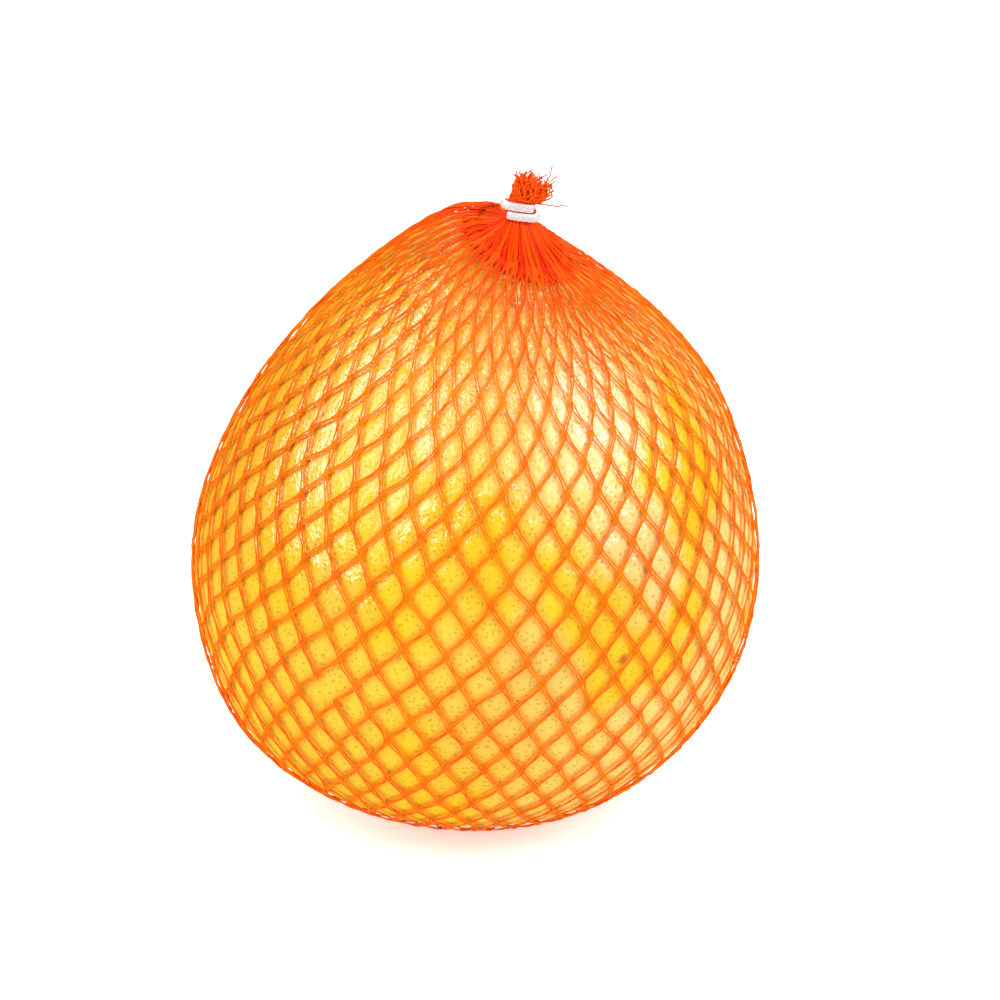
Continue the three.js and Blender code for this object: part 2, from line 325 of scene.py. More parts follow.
def smooth_line(points, steps):
    """A smooth line through points, with this many steps from each to the next."""
    p = np.array(points, float)
    p = np.vstack([p[:1], p, p[-1:]])
    t = np.linspace(0, 1, steps, endpoint=False)[:, None]
    spans = []
    for a, b, c, d in zip(p, p[1:], p[2:], p[3:]):
        bend = a - 2.5 * b + 2 * c - d / 2
        twist = (3 * b - a - 3 * c + d) / 2
        spans.append(b + (c - a) / 2 * t + bend * t**2 + twist * t**3)
    return np.vstack([*spans, p[-1:]])


def reach_table(*stretches):
    """Angle from straight up and distance, from the middle of the belly, along an outline."""
    outline = smooth_line([point for stretch in stretches for point in stretch], OUTLINE_STEPS)[::-1]
    up = outline[:, 1] - BELLY_HEIGHT
    return np.arctan2(outline[:, 0], up), np.hypot(outline[:, 0], up)


RIND = reach_table(BLOSSOM_END, FLANK, STALK_SCAR)
NET = reach_table(BASE_OF_NET, FLANK, TOP_OF_NET)


def bell(value, middle, half_width):
    return np.exp(-(((value - middle) / half_width) ** 2))


def grown(radius, azimuth, height):
    """A point of the grown fruit: its girth has soft sides, and its body sways right at the shoulder."""
    oval = OVAL_GIRTH * np.cos(2 * azimuth + OVAL_TURN)
    square = SQUARE_GIRTH * np.cos(4 * azimuth + SQUARE_TURN)
    girth = radius * (1 + oval + square)
    sway = SHOULDER_SWAY * bell(height, SHOULDER_HEIGHT, SHOULDER_SPREAD)
    sway -= HIP_SWAY * bell(height, HIP_HEIGHT, HIP_SPREAD)
    return np.stack([girth * np.cos(azimuth) + sway, girth * np.sin(azimuth), height], -1)


def on_fruit(turn, drop, table):
    """Points at an angle round the net's axis and an angle down from its gathered end."""
    x = np.sin(drop) * np.cos(turn)
    y = np.sin(drop) * np.sin(turn)
    z = np.cos(drop)
    front = math.radians(LEAN_FRONT)
    y, z = y * math.cos(front) - z * math.sin(front), y * math.sin(front) + z * math.cos(front)
    right = np.radians(LEAN_RIGHT_TOP + (LEAN_RIGHT_BASE - LEAN_RIGHT_TOP) * drop / math.pi)
    x, z = x * np.cos(right) + z * np.sin(right), z * np.cos(right) - x * np.sin(right)
    from_top = np.arccos(np.clip(z, -1, 1))
    reach = np.interp(from_top, *table)
    return grown(reach * np.sin(from_top), np.arctan2(y, x), BELLY_HEIGHT + reach * np.cos(from_top))


def unit(vectors):
    return vectors / np.maximum(np.linalg.norm(vectors, axis=-1, keepdims=True), LEAST_LENGTH)


def outward(turn, drop, table):
    step = 4e-3
    along = on_fruit(turn + step, drop, table) - on_fruit(turn - step, drop, table)
    down = on_fruit(turn, drop + step, table) - on_fruit(turn, drop - step, table)
    return unit(np.cross(down, along))


def ring_radius(drop):
    return np.interp(drop, *NET) * np.sin(drop)


def knot_rows():
    """Angles down from the gathered end where rows of knots lie: rows close up where the net is wide."""
    walk = 0.001
    drop = walk
    while ring_radius(drop) < MESH_END_RADIUS:
        drop += walk
    rows = []
    while drop < math.pi / 2 or ring_radius(drop) > MESH_END_RADIUS:
        rows.append(drop)
        half_width = math.pi * ring_radius(drop) / DIAMONDS_ROUND
        left = math.sqrt(LEG**2 - half_width**2)
        while left > 0:
            here = np.interp(drop, *NET)
            there = np.interp(drop + walk, *NET)
            left -= math.hypot(there - here, here * walk)
            drop += walk
    return np.array(rows)


ROWS = knot_rows()
LAST_ROW = len(ROWS) - 1
DRIFT = rng.uniform(-1, 1, (len(ROWS) + 1, 2 * DIAMONDS_ROUND, 2)) * KNOT_DRIFT


def drift(across, row):
    """How far the handled net has slipped out of true at a place, in diamonds and in rows."""
    column = np.floor(2 * across).astype(int)
    above = np.clip(np.floor(row).astype(int), 0, LAST_ROW)
    aside = (2 * across - column)[..., None]
    down = np.clip(row - above, 0, 1)[..., None]
    left = column % (2 * DIAMONDS_ROUND)
    right = (column + 1) % (2 * DIAMONDS_ROUND)
    upper = DRIFT[above, left] * (1 - aside) + DRIFT[above, right] * aside
    lower = DRIFT[above + 1, left] * (1 - aside) + DRIFT[above + 1, right] * aside
    slip = upper * (1 - down) + lower * down
    around = TAU * across / DIAMONDS_ROUND
    slip[..., 0] += WAVE_ACROSS * np.sin(WAVE_PACE * row + WAVES_ACROSS_ROUND * around)
    slip[..., 0] += SWING_ACROSS * np.sin(SWING_PACE * row + SWING_START)
    slip[..., 1] += WAVE_DOWN * np.sin(WAVES_DOWN_ROUND * around + WAVE_DOWN_START)
    ends = np.clip(np.minimum(row, LAST_ROW - row) / TRUE_ROWS, 0, 1)[..., None]
    return slip * ends


def lattice(across, row):
    """Turn and drop of a place in the net, given in diamonds across and rows down."""
    slip = drift(across, row)
    turn = TAU * (across + slip[..., 0]) / DIAMONDS_ROUND
    return turn, np.interp(row + slip[..., 1], np.arange(len(ROWS)), ROWS)


def add_mesh(name, points, faces, material, marks=None):
    """A piece from points in millimetres, riding on the body. Marks are a number for each point."""
    mesh = bpy.data.meshes.new(name)
    mesh.from_pydata((np.asarray(points) * MM).tolist(), [], faces)
    mesh.shade_smooth()
    mesh.materials.append(material)
    if marks is not None:
        values = np.ravel(marks).astype(np.float32)
        mesh.attributes.new("mark", "FLOAT", "POINT").data.foreach_set("value", values)
    piece = bpy.data.objects.new(name, mesh)
    bpy.context.scene.collection.objects.link(piece)
    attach(piece, "root")
    return piece


def ring_faces(rows, columns, first=0):
    """Faces between rows of points that close round."""
    r = np.arange(rows - 1)[:, None] * columns + first
    i = np.arange(columns)[None, :]
    j = (i + 1) % columns
    return np.stack([r + i, r + j, r + columns + j, r + columns + i], -1).reshape(-1, 4)


class Bundle:
    """Tubes gathered into one mesh."""

    def __init__(self):
        self.points = []
        self.marks = []
        self.faces = []
        self.count = 0

    def tube(self, path, normals, radius, sides, marks=0.0):
        """A round tube with closed ends. Radius and marks are one number, or one for each of its points."""
        ahead = unit(np.gradient(path, axis=0))
        side = unit(np.cross(normals, ahead))
        up = np.cross(ahead, side)
        angle = TAU * np.arange(sides) / sides
        radius = np.broadcast_to(radius, len(path))[:, None, None]
        spokes = side[:, None] * np.cos(angle)[:, None] + up[:, None] * np.sin(angle)[:, None]
        ring = path[:, None] + radius * spokes
        self.points.append(ring.reshape(-1, 3))
        self.marks.append(np.repeat(np.broadcast_to(marks, len(path)), sides))
        last = self.count + (len(path) - 1) * sides
        self.faces += ring_faces(len(path), sides, self.count).tolist()
        self.faces.append(list(range(self.count + sides - 1, self.count - 1, -1)))
        self.faces.append(list(range(last, last + sides)))
        self.count += len(path) * sides

    def piece(self, name, slot, material):
        marks = np.concatenate(self.marks)
        return add_mesh(name, np.vstack(self.points), self.faces, material, marks)


def pressed(across, row, drop):
    """How deep the strands press into the rind at a place in the net, and how strong the painted orange glow
    and shade of the net is there.
    """
    off_right = np.abs((across - row / 2 + 0.5) % 1 - 0.5)
    off_left = np.abs((across + row / 2 + 0.5) % 1 - 0.5)
    strand = np.round(across - row / 2) % DIAMONDS_ROUND
    off_right[(strand == BROKEN_STRAND) & (row > BROKEN_ROW) & (row < BROKEN_ROW + 1)] = 0.5
    diamond = TAU * ring_radius(drop) / DIAMONDS_ROUND
    off_strand = np.minimum(off_left, off_right) * diamond * np.sqrt(1 - (diamond / 2 / LEG) ** 2)
    bed = BED_DEPTH * bell(off_strand, 0, BED_HALF_WIDTH)
    # Painted glow and shade: a band beside each strand, and all over the rows near the neck.
    painted_glow_and_shade = np.maximum(PAINTED_THREAD_GLOW * bell(off_strand, 0, PAINTED_GLOW_HALF_WIDTH), np.exp(-row / PAINTED_GLOW_ROWS))
    return bed, painted_glow_and_shade


def make_rind(material):
    """The fruit: its mesh follows the net's lattice, so the beds pressed by the strands lie under them."""
    columns = DIAMONDS_ROUND * RIND_STEPS_A_DIAMOND
    row = np.linspace(0, LAST_ROW, LAST_ROW * RIND_STEPS_A_ROW + 1)
    across = np.arange(columns) / RIND_STEPS_A_DIAMOND
    across, row = np.meshgrid(across, row)
    turn, drop = lattice(across, row)
    bed, painted_glow_and_shade = pressed(across, row, drop)
    caps = np.linspace(CAP_TIP, 1, CAP_STEPS)[:-1, None]
    top = caps * drop[0]
    bottom = (math.pi - drop[-1]) * caps[::-1]
    drop = np.vstack([top, drop, math.pi - bottom])
    turn = np.vstack([np.repeat(turn[:1], len(top), 0), turn, np.repeat(turn[-1:], len(bottom), 0)])
    cap_rows = ((len(top), len(bottom)), (0, 0))
    bed = np.pad(bed, cap_rows, mode="edge")
    painted_glow_and_shade = np.pad(painted_glow_and_shade, cap_rows, mode="edge")
    points = on_fruit(turn, drop, RIND) - outward(turn, drop, RIND) * bed[..., None]
    rows = len(points)
    faces = ring_faces(rows, columns)[:, ::-1].tolist()
    faces.append(list(range(columns)))
    faces.append(list(range(rows * columns - 1, (rows - 1) * columns - 1, -1)))
    # The rind's marks carry the painted orange glow and shade of the net.
    piece = add_mesh("pomelo_rind", points.reshape(-1, 3), faces, material, painted_glow_and_shade)
    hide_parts("pomelo_fruit")


def neck_point(rise):
    """The neck's own line: up from its foot, and bending over to the right in the tail."""
    straight = np.minimum(rise, NECK_LENGTH)
    bent = np.maximum(rise - NECK_LENGTH, 0)
    neck_lean = math.radians(NECK_LEAN)
    tail_lean = math.radians(TAIL_LEAN)
    x = straight * math.sin(neck_lean) + bent * math.sin(tail_lean) + TAIL_ASIDE * np.clip(bent, 0, 1)
    z = straight * math.cos(neck_lean) + bent * math.cos(tail_lean)
    return NECK_FOOT + np.stack([x, 0 * x, z], -1)


def neck_ring(rise, turn, half_width, half_depth):
    """A point at an angle round the neck's line."""
    lean = np.radians(np.where(rise > NECK_LENGTH, TAIL_LEAN, NECK_LEAN))
    x = half_width * np.cos(turn)
    spoke = np.stack([x * np.cos(lean), half_depth * np.sin(turn), -x * np.sin(lean)], -1)
    return neck_point(rise) + spoke


def base_drop():
    drops = np.linspace(*PLEAT_DROPS_TRIED)
    return np.interp(PLEAT_BASE_RADIUS, ring_radius(drops), drops)


PLEAT_DROP = base_drop()


def creases(turn, row):
    """How deep in the gathered net's folds a place lies: 1 at the bottom of a crease beside the neck."""
    wave = 0.5 + 0.5 * np.cos(FOLDS_ROUND * turn + FOLD_WANDER * np.sin(WANDERS_ROUND * turn))
    return wave * np.exp(-row / FOLD_ROWS)


def folds(turn, row):
    """How far the gathered net stands off the rind in soft folds that run out from its neck."""
    return FOLD_HEIGHT * (np.exp(-row / FOLD_ROWS) - creases(turn, row))


def gathered(turn, share, height):
    """Points of the pleated skirt between the rind, at share 0, and the neck's foot, at share 1."""
    drop = np.full_like(turn, PLEAT_DROP)
    lift = STRAND_BED + height + folds(turn, 0)
    skirt = on_fruit(turn, drop, NET) + outward(turn, drop, NET) * lift[..., None]
    throat_size = (NECK_HALF_WIDTH + NECK_SPREAD, NECK_HALF_DEPTH + NECK_SPREAD)
    throat = neck_ring(np.zeros_like(turn), turn, *throat_size)
    point = skirt + (throat - skirt) * share[..., None]
    point[..., 2] -= SKIRT_SAG * np.sin(math.pi * share)
    return point


def strand_path(start, slant, ease):
    """One strand's line from neck to pad: points, outward directions, rows, ring radii and creases."""
    row = np.linspace(0, LAST_ROW, LAST_ROW * STEPS_A_LEG + 1)
    across = start + slant * (row - ease * np.sin(TAU * row) / TAU) / 2
    turn, drop = lattice(across, row)
    path = on_fruit(turn, drop, NET)
    normals = outward(turn, drop, NET)
    path += normals * (STRAND_BED + folds(turn, row))[:, None]
    share = np.linspace(1, SKIRT_LOWEST, SKIRT_STATIONS)
    slip = slant * TAU / DIAMONDS_ROUND / 4
    skirt = gathered(turn[0] - slip * np.sqrt(share), share, np.full_like(share, SKIRT_LIFT))
    rise = np.array(NECK_STATIONS)
    neck_turn = np.full_like(rise, turn[0] - slip)
    throat = neck_ring(rise, neck_turn, NECK_HALF_WIDTH - STRAND_INSET, NECK_HALF_DEPTH - STRAND_INSET)
    throat_normals = unit(throat - neck_point(rise))
    path = np.vstack([throat, skirt, path])
    normals = np.vstack([throat_normals, np.repeat(normals[:1], len(share), 0), normals])
    gathered_steps = len(rise) + len(share)
    row = np.concatenate([np.zeros(gathered_steps), row])
    drop = np.concatenate([np.full(gathered_steps, drop[0]), drop])
    turn = np.concatenate([np.full(gathered_steps, turn[0]), turn])
    return path, normals, row, ring_radius(drop), creases(turn, row)


def whole_stretches(row, broken_row):
    """The stretches of a strand above and below its broken leg, as slices of its path."""
    return [slice(np.searchsorted(row, broken_row) + 1), slice(np.searchsorted(row, broken_row + 1), None)]


def make_strands(name, slant, ease, width, parting_at_knot, material):
    """One slanting family of strands: two filaments that part at the knots, and a slack one higher up."""
    bundle = Bundle()
    for i in range(DIAMONDS_ROUND):
        path, normals, row, radius, crease = strand_path(i, slant, ease)
        sideways = unit(np.cross(normals, unit(np.gradient(path, axis=0))))
        near_knot = np.abs(np.cos(math.pi * row)) ** KNOT_SHARPNESS
        open_mesh = np.clip((radius - OPEN_FROM_RADIUS) / OPENING_SPAN, 0, 1)
        apart = width * np.interp(radius, PARTING_AT_RADIUS, PARTING)
        apart += parting_at_knot * near_knot * open_mesh
        phase = rng.uniform(0, TAU)
        stretches = [slice(None)]
        if slant > 0 and i == BROKEN_STRAND:
            stretches = whole_stretches(row, BROKEN_ROW)
        for sign in (-1, 1):
            twist = sign * TWIST_HEIGHT * np.sin(TWIST_PACE * math.pi * row + phase)
            lift = FILAMENT_LIFT + twist + CROSSING_HEIGHT * slant * near_knot
            line = path + sideways * (sign * apart)[:, None] + normals * lift[:, None]
            thickness = FILAMENT_RADIUS * rng.uniform(1 - FILAMENT_VARIETY, 1 + FILAMENT_VARIETY)
            thickness = thickness * np.interp(radius, THIN_TO_FULL_RADIUS, (THIN_SHARE, 1))
            for part in stretches:
                # The marks are the crease depth, for painted shade in the creases.
                bundle.tube(line[part], normals[part], thickness[part], FILAMENT_SIDES, crease[part])
        loose = row < LOOSE_ROWS
        slack = LOOSE_SWAY * np.sin(LOOSE_PACE * row + phase)
        slack *= (1 - row / LOOSE_ROWS) * np.clip(radius / LOOSE_FULL_RADIUS, LOOSE_LEAST_SHARE, 1)
        line = path + sideways * slack[:, None] + normals * LOOSE_LIFT
        thickness = LOOSE_THICKNESS * FILAMENT_RADIUS
        bundle.tube(line[loose], normals[loose], thickness, FILAMENT_SIDES, crease[loose])
    piece = bundle.piece(name, "net", material)
    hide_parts("net")


def make_knots(material):
    """Where strands meet they are knitted together along a short slanting length."""
    bundle = Bundle()
    along = KNOT_LENGTH * KNOT_STATIONS
    for r in range(1, LAST_ROW):
        size = KNOT_RADIUS * KNOT_SWELL * np.clip(r / FULL_KNOT_ROW, LEAST_KNOT_SHARE, 1)
        for i in range(DIAMONDS_ROUND):
            turn, drop = lattice(i + (r % 2) / 2 + KNOT_SLANT * along, r + along)
            normals = outward(turn, drop, NET)
            path = on_fruit(turn, drop, NET) + normals * (STRAND_BED + KNOT_LIFT)
            bundle.tube(path, normals, size * rng.uniform(*KNOT_VARIETY), FILAMENT_SIDES)
    piece = bundle.piece("net_knots", "net", material)
    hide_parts("net")


def make_neck(material):
    """The pleated skirt, neck and crumpled middle of the tail, under the strands."""
    columns = 4 * DIAMONDS_ROUND
    turn = TAU * np.arange(columns) / columns
    pleat = 0.5 + 0.5 * np.cos(turn * DIAMONDS_ROUND)
    hem = np.full(columns, PLEAT_DROP * HEM_DROP)
    rings = [on_fruit(turn, hem, NET) + outward(turn, hem, NET) * HEM_LIFT]
    for share in np.linspace(0, 1, SKIRT_RINGS):
        height = PLEAT_HEIGHT * pleat * (1 - share) - SKIRT_INSET
        rings.append(gathered(turn, np.full(columns, share), height))
    inset = SKIRT_INSET + PLEAT_DEPTH * pleat
    for rise in np.linspace(LOWEST_NECK_RING, NECK_LENGTH, NECK_RINGS):
        rise = np.full(columns, rise)
        rings.append(neck_ring(rise, turn, NECK_HALF_WIDTH - inset, NECK_HALF_DEPTH - inset))
    for share in np.linspace(*CORE_SPAN, CORE_RINGS):
        width = np.interp(share, CORE_AT, CORE_WIDTH) * (TAIL_RADIUS - CORE_INSET)
        broad = BROAD_CRUMPLES_ROUND * turn + BROAD_CRUMPLE_TWIST * share
        fine = FINE_CRUMPLES_ROUND * turn + FINE_CRUMPLE_TWIST * share + FINE_CRUMPLE_START
        crumple = BROAD_CRUMPLE * np.sin(broad) + FINE_CRUMPLE * np.sin(fine)
        radius = width + crumple * share
        rise = np.full(columns, NECK_LENGTH + share * TAIL_LENGTH * CORE_HEIGHT_SHARE)
        rings.append(neck_ring(rise, turn, radius, TAIL_FLATNESS * radius))
    faces = ring_faces(len(rings), columns).tolist()
    faces.append(list(range(columns - 1, -1, -1)))
    faces.append(list(range((len(rings) - 1) * columns, len(rings) * columns)))
    # Marks for painted shade: deepest in the creases, and some over all of the neck.
    marks = np.tile(LEAST_CREASE_SHADE + (1 - LEAST_CREASE_SHADE) * creases(turn, 0), len(rings))
    piece = add_mesh("net_neck", np.vstack(rings), faces, material, marks)
    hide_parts("net")


def add_cut_strands(bundle, steps):
    """Crumpled strands that run up out of the neck and are cut off above the clip."""
    profile = np.interp(steps, SPREAD_AT, SPREAD_SHARE)
    opening = np.minimum(1, steps * TAIL_OPENING)
    half_width = NECK_HALF_WIDTH * TAIL_BASE_SHARE * (1 - opening)
    half_depth = NECK_HALF_DEPTH * TAIL_BASE_SHARE * (1 - opening)
    for i in range(TAIL_STRANDS):
        turn = TAU * i * GOLDEN_TURN
        reach = TAIL_RADIUS * rng.uniform(*TAIL_REACHES) ** TAIL_CROWDING
        wander = np.cumsum(rng.normal(0, TAIL_WANDER, (len(steps), 3)), axis=0) * np.sqrt(steps)[:, None]
        rise = NECK_LENGTH - TAIL_OVERLAP + steps * TAIL_LENGTH * rng.uniform(*TAIL_HEIGHTS)
        width = half_width + reach * profile * opening
        depth = half_depth + TAIL_FLATNESS * reach * profile * opening
        curl = TAIL_CURL * np.sin(TAIL_CURL_PACE * steps + i)
        path = neck_ring(rise, turn + curl, width, depth) + wander
        normals = unit(path - neck_point(rise))
        bundle.tube(path, normals, FILAMENT_RADIUS * rng.uniform(*TAIL_THICKNESSES), FILAMENT_SIDES)


def add_frayed_ends(bundle, steps):
    """A few longer ends that stand out of the tail, most of them to the right."""
    facing = np.broadcast_to(FRAY_FACING, (len(steps), 3))
    for turn, share, length, climb in FRAYED_ENDS:
        rise = np.array(NECK_LENGTH + share * TAIL_LENGTH)
        root = neck_ring(rise, turn, TAIL_RADIUS * FRAY_ROOT_WIDTH, TAIL_RADIUS * FRAY_ROOT_DEPTH)
        along = np.array([math.cos(turn), math.sin(turn), climb])
        wander = np.cumsum(rng.normal(0, FRAY_WANDER, (len(steps), 3)), axis=0)
        path = root + steps[:, None] * length * along + wander
        bundle.tube(path, facing, LOOSE_THICKNESS * FILAMENT_RADIUS, FILAMENT_SIDES)


def make_tail(material):
    """The short tuft of the net above the clip."""
    bundle = Bundle()
    steps = np.linspace(0, 1, TAIL_STATIONS)
    add_cut_strands(bundle, steps)
    add_frayed_ends(bundle, steps)
    piece = bundle.piece("net_tail", "net", material)
    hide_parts("net")


def make_pad(material):
    """The closed end that the fruit rests on: pleats drawn together round a small middle."""
    middle = on_fruit(np.array(0.0), np.array(PAD_MIDDLE_DROP), NET)
    columns = 4 * DIAMONDS_ROUND
    turn = TAU * np.arange(columns) / columns
    pleat = 0.5 + 0.5 * np.cos(turn * DIAMONDS_ROUND)
    rings = []
    for radius, height in PAD_OUTLINE:
        reach = radius - PAD_PLEAT * pleat * (radius > PAD_PLEATS_FROM)
        low = PAD_RIPPLE * pleat * (height < PAD_RIPPLES_BELOW) * (radius < PAD_RIPPLES_UP_TO)
        x = middle[0] + reach * np.cos(turn)
        y = middle[1] + reach * np.sin(turn)
        rings.append(np.stack([x, y, height + low], -1))
    faces = ring_faces(len(rings), columns)[:, ::-1].tolist()
    faces.append(list(range(columns)))
    faces.append(list(range(len(rings) * columns - 1, (len(rings) - 1) * columns - 1, -1)))
    piece = add_mesh("net_pad", np.vstack(rings), faces, material)
    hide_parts("net")


def make_clip(material):
    """One flattened wire bent once round the neck, its two ends one above the other at the front."""
    angle = np.linspace(WIRE_START, WIRE_END, WIRE_STATIONS)
    across = np.cos(np.radians(angle))
    climb = np.clip((angle - CLIMB_START) / (CLIMB_END - CLIMB_START), 0, 1)
    climb = 2 * climb**2 * (3 - 2 * climb) - 1
    straight = np.clip(BAR_STRAIGHTNESS * across, -1, 1)
    x = CLIP_BEND_RADIUS * across + CLIP_HALF_STRAIGHT * straight - CLIP_SKEW * climb
    path = np.stack([x, CLIP_BEND_RADIUS * np.sin(np.radians(angle)), CLIP_HALF_PITCH * climb], -1)
    ahead = unit(np.gradient(path, axis=0))
    up = np.array([0.0, 0.0, 1.0])
    side = unit(np.cross(ahead, up))
    turn = TAU * np.arange(WIRE_SIDES) / WIRE_SIDES
    height = WIRE_HALF_HEIGHT * np.sign(np.sin(turn)) * np.abs(np.sin(turn)) ** WIRE_CORNER
    thickness = WIRE_HALF_THICKNESS * np.sign(np.cos(turn)) * np.abs(np.cos(turn)) ** WIRE_CORNER
    size = np.ones(len(path))
    size[[0, -1]] = WIRE_END_SHARE
    section = side[:, None] * thickness[:, None] + up * height[:, None]
    points = path[:, None] + size[:, None, None] * section
    lean = math.radians(NECK_LEAN)
    tilt = np.array([[math.cos(lean), 0, math.sin(lean)], [0, 1, 0], [-math.sin(lean), 0, math.cos(lean)]])
    points = points.reshape(-1, 3) @ tilt.T + neck_point(np.array(CLIP_RISE))
    faces = ring_faces(len(path), WIRE_SIDES)[:, ::-1].tolist()
    faces.append(list(range(WIRE_SIDES)))
    faces.append(list(range(len(points) - 1, len(points) - WIRE_SIDES - 1, -1)))
    piece = add_mesh("clip_wire", points, faces, material)
    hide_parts("clip")


def new_material(name):
    material = bpy.data.materials.new(name)
    material.use_nodes = True
    nodes = material.node_tree.nodes
    shader = nodes["Principled BSDF"]
    return material, nodes, material.node_tree.links, shader


def noise(nodes, links, where, scale, detail=2.0, rough=0.5):
    node = nodes.new("ShaderNodeTexNoise")
    node.inputs["Scale"].default_value = scale
    node.inputs["Detail"].default_value = detail
    node.inputs["Roughness"].default_value = rough
    links.new(where, node.inputs["Vector"])
    return node.outputs["Fac"]


def spread(nodes, links, value, low, high, to_low=0.0, to_high=1.0):
    """A value stretched from one range to another and held there."""
    node = nodes.new("ShaderNodeMapRange")
    node.interpolation_type = "SMOOTHSTEP"
    for name, number in zip(("From Min", "From Max", "To Min", "To Max"), (low, high, to_low, to_high)):
        node.inputs[name].default_value = number
    links.new(value, node.inputs["Value"])
    return node.outputs["Result"]


def blend(nodes, links, share, first, second):
    """Two colours mixed: each is a colour or an output, and share is a number or an output."""
    node = nodes.new("ShaderNodeMix")
    node.data_type = "RGBA"
    sockets = [s for s in node.inputs if s.enabled]
    for socket, given in zip(sockets, (share, first, second)):
        if isinstance(given, bpy.types.NodeSocket):
            links.new(given, socket)
        elif isinstance(given, tuple):
            socket.default_value = (*given, 1)
        else:
            socket.default_value = given
    return [s for s in node.outputs if s.enabled][0]


def bump(nodes, links, height, depth, under=None):
    """Relief of this depth in mm, over the relief under it."""
    node = nodes.new("ShaderNodeBump")
    node.inputs["Distance"].default_value = depth * MM
    node.inputs["Strength"].default_value = 1
    links.new(height, node.inputs["Height"])
    if under is not None:
        links.new(under, node.inputs["Normal"])
    return node.outputs["Normal"]


def mark(nodes):
    """The number that the mesh carries for each of its points."""
    node = nodes.new("ShaderNodeAttribute")
    node.attribute_name = "mark"
    return node.outputs["Fac"]


def times(nodes, links, first, second):
    node = nodes.new("ShaderNodeMath")
    node.operation = "MULTIPLY"
    links.new(first, node.inputs[0])
    if isinstance(second, bpy.types.NodeSocket):
        links.new(second, node.inputs[1])
    else:
        node.inputs[1].default_value = second
    return node.outputs[0]


def distance_to(nodes, links, where, place):
    node = nodes.new("ShaderNodeVectorMath")
    node.operation = "DISTANCE"
    node.inputs[1].default_value = place * MM
    links.new(where, node.inputs[0])
    return node.outputs["Value"]


def rind_tone_and_painted_shade(nodes, links, where, aside):
    """The rind between its glands: more pale patches to the right, and more golden ones to the left, where
    the golden is painted shade on the left flank.
    """
    clouds = spread(nodes, links, noise(nodes, links, where, scale=26, detail=3), low=0.38, high=0.54)
    patches = spread(nodes, links, noise(nodes, links, where, scale=9, detail=2), low=0.35, high=0.6)
    pale_share = spread(nodes, links, aside, low=-20 * MM, high=50 * MM, to_low=0.12, to_high=1)
    # Painted shade: the golden share grows over the left flank.
    golden_and_shade_share = spread(nodes, links, aside, low=-70 * MM, high=-30 * MM, to_low=1, to_high=0.35)
    rind_tone = blend(nodes, links, times(nodes, links, pale_share, clouds), YELLOW_RIND, PALE_RIND)
    return blend(nodes, links, times(nodes, links, golden_and_shade_share, patches), rind_tone, GOLDEN_RIND)


def gloss_strength(nodes, links, where, height):
    """How strong the crinkled gloss is: in patches, weaker low down and at the fruit's edges."""
    clouds = noise(nodes, links, where, scale=32, detail=3)
    patches = spread(nodes, links, clouds, low=0.38, high=0.58, to_low=0.4)
    facing = nodes.new("ShaderNodeLayerWeight").outputs["Facing"]
    edges = spread(nodes, links, facing, low=0.5, high=0.95, to_low=1, to_high=0.1)
    raised = spread(nodes, links, height, low=40 * MM, high=90 * MM, to_low=0.4)
    return times(nodes, links, times(nodes, links, patches, edges), raised)


def rind_material():
    """Waxy yellow rind, freckled with oil glands, under a crinkled gloss."""
    material, nodes, links, shader = new_material("rind")
    where = nodes.new("ShaderNodeTexCoord").outputs["Object"]
    glands = nodes.new("ShaderNodeTexVoronoi")
    glands.inputs["Scale"].default_value = GLAND_SCALE
    glands.inputs["Randomness"].default_value = GLAND_SCATTER
    links.new(where, glands.inputs["Vector"])
    gland = spread(nodes, links, glands.outputs["Distance"], low=0.15, high=0.42, to_low=1, to_high=0)
    place = nodes.new("ShaderNodeSeparateXYZ")
    links.new(where, place.inputs[0])
    rind_tone = rind_tone_and_painted_shade(nodes, links, where, place.outputs["X"])
    colour = blend(nodes, links, times(nodes, links, gland, GLAND_SHARE), rind_tone, GLAND)
    # Painted orange glow and shade from the net, carried by the rind's marks.
    colour = blend(nodes, links, times(nodes, links, mark(nodes), PAINTED_GLOW_SHARE), colour, SHADED_RIND)
    off_scar = distance_to(nodes, links, where, BLEMISH)
    scar = spread(nodes, links, off_scar, low=0.6 * MM, high=2.2 * MM, to_low=0.8, to_high=0)
    links.new(blend(nodes, links, scar, colour, SCAR), shader.inputs["Base Color"])
    shader.inputs["Roughness"].default_value = 0.55
    shader.inputs["Specular IOR Level"].default_value = 0.08
    shader.inputs["Subsurface Weight"].default_value = 0.12
    shader.inputs["Subsurface Radius"].default_value = (4 * MM, 2 * MM, 0.5 * MM)
    shader.inputs["Subsurface Scale"].default_value = 1
    pits = bump(nodes, links, gland, depth=-0.12)
    grain = noise(nodes, links, where, scale=900, detail=2)
    links.new(bump(nodes, links, grain, depth=0.06, under=pits), shader.inputs["Normal"])
    gloss = gloss_strength(nodes, links, where, place.outputs["Z"])
    links.new(gloss, shader.inputs["Coat Weight"])
    shader.inputs["Coat Roughness"].default_value = 0.16
    shader.inputs["Coat IOR"].default_value = 2.3
    stretch = nodes.new("ShaderNodeMapping")
    stretch.inputs["Scale"].default_value = (1, 1, 0.4)
    stretch.inputs["Rotation"].default_value = (0.3, 0.5, 0)
    links.new(where, stretch.inputs["Vector"])
    crinkles = noise(nodes, links, stretch.outputs["Vector"], scale=260, detail=4, rough=0.65)
    links.new(bump(nodes, links, crinkles, depth=1.3), shader.inputs["Coat Normal"])
    return material


